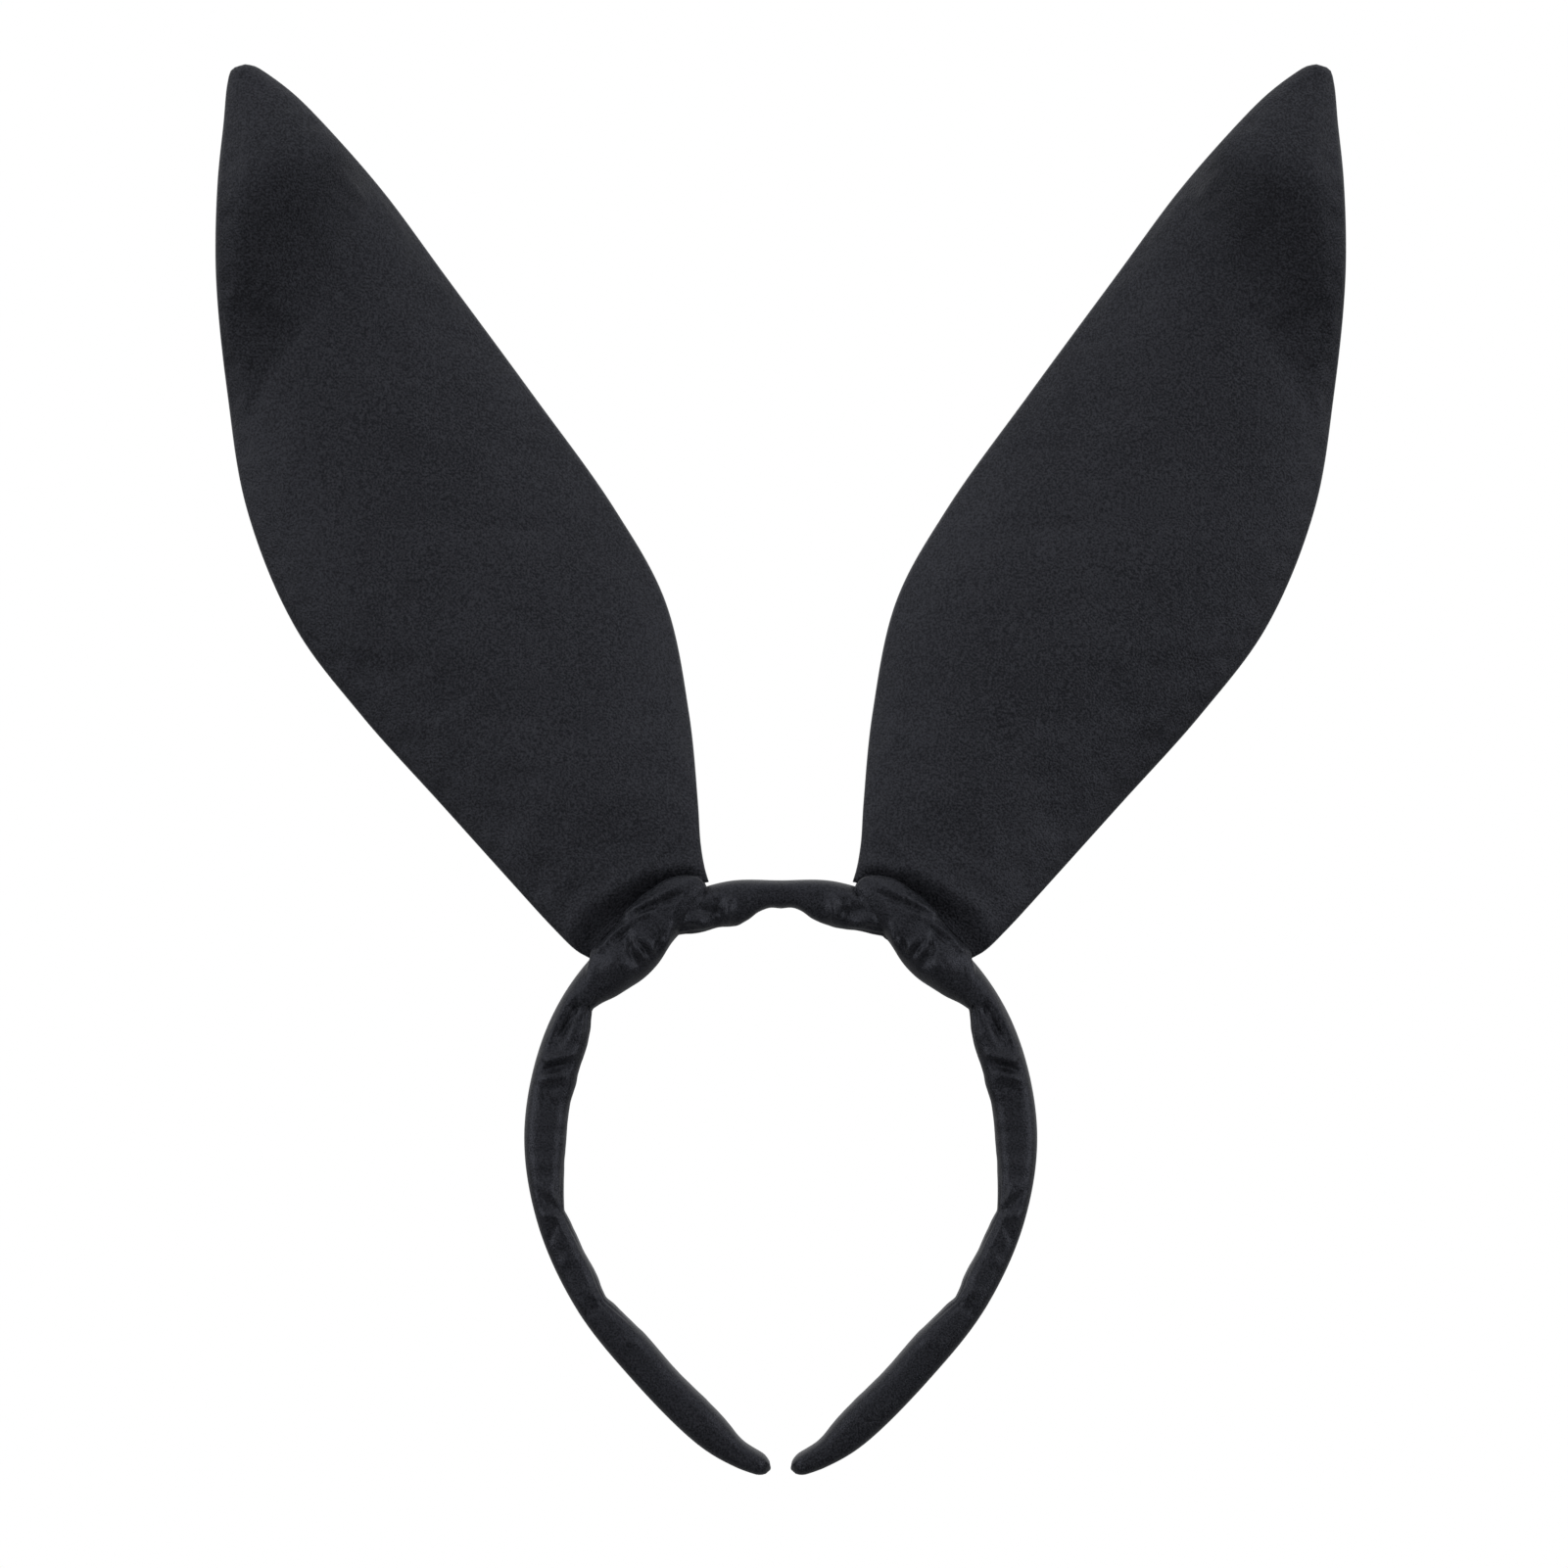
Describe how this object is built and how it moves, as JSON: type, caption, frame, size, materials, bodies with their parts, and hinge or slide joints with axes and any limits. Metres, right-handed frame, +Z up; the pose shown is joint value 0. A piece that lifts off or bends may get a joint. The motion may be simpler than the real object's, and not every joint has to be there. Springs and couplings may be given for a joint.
{
  "type": "animal ears headband",
  "caption": "Satin-covered spring hoop for the head with tall wired fabric rabbit ears that tilt at the crown and legs that spread to fit.",
  "frame": {"origin": "middle of the crown's flat underside, where the hoop rests on the top of the head", "axes": "+Z up as worn, X across the head with +X to the right seen from the front, front faces -Y"},
  "size_m": [0.2768, 0.0166, 0.3447],
  "materials": {
    "satin": "satin",
    "ear_fabric": "matte",
    "foam": "matte",
    "spring_plastic": "satin",
    "steel_wire": "satin",
    "soft_cap": "matte"
  },
  "bodies": {
    "crown": {"crown_core": "spring_plastic", "crown_cover": "satin", "left_ear_wrap": "satin", "right_ear_wrap": "satin", "left_inner_wire_coil": "steel_wire", "right_inner_wire_coil": "steel_wire", "left_outer_wire_coil": "steel_wire", "right_outer_wire_coil": "steel_wire"},
    "left_leg": {"left_leg_core": "spring_plastic", "left_leg_cover": "satin", "left_end_cap": "soft_cap"},
    "right_leg": {"right_leg_core": "spring_plastic", "right_leg_cover": "satin", "right_end_cap": "soft_cap"},
    "left_ear": {"left_ear_front": "ear_fabric", "left_ear_back": "ear_fabric", "left_ear_foam": "foam", "left_ear_wire": "steel_wire"},
    "right_ear": {"right_ear_front": "ear_fabric", "right_ear_back": "ear_fabric", "right_ear_foam": "foam", "right_ear_wire": "steel_wire"}
  },
  "joints": [
    {"name": "left_leg_spread", "type": "hinge", "parent": "crown", "child": "left_leg", "pos_m": [-0.0536, 0, -0.0216], "axis": [0, 1, 0], "range_deg": [-0.7, 24], "stiffness_Nm_per_rad": 0.55},
    {"name": "right_leg_spread", "type": "hinge", "parent": "crown", "child": "right_leg", "pos_m": [0.0536, 0, -0.0216], "axis": [0, -1, 0], "range_deg": [-0.7, 24], "stiffness_Nm_per_rad": 0.55},
    {"name": "left_ear_tilt", "type": "hinge", "parent": "crown", "child": "left_ear", "pos_m": [-0.0353, 0, 0.0016], "axis": [0.8281, 0, 0.5606], "range_deg": [-50, 50]},
    {"name": "right_ear_tilt", "type": "hinge", "parent": "crown", "child": "right_ear", "pos_m": [0.0353, 0, 0.0016], "axis": [0.8281, 0, -0.5606], "range_deg": [-50, 50]}
  ]
}
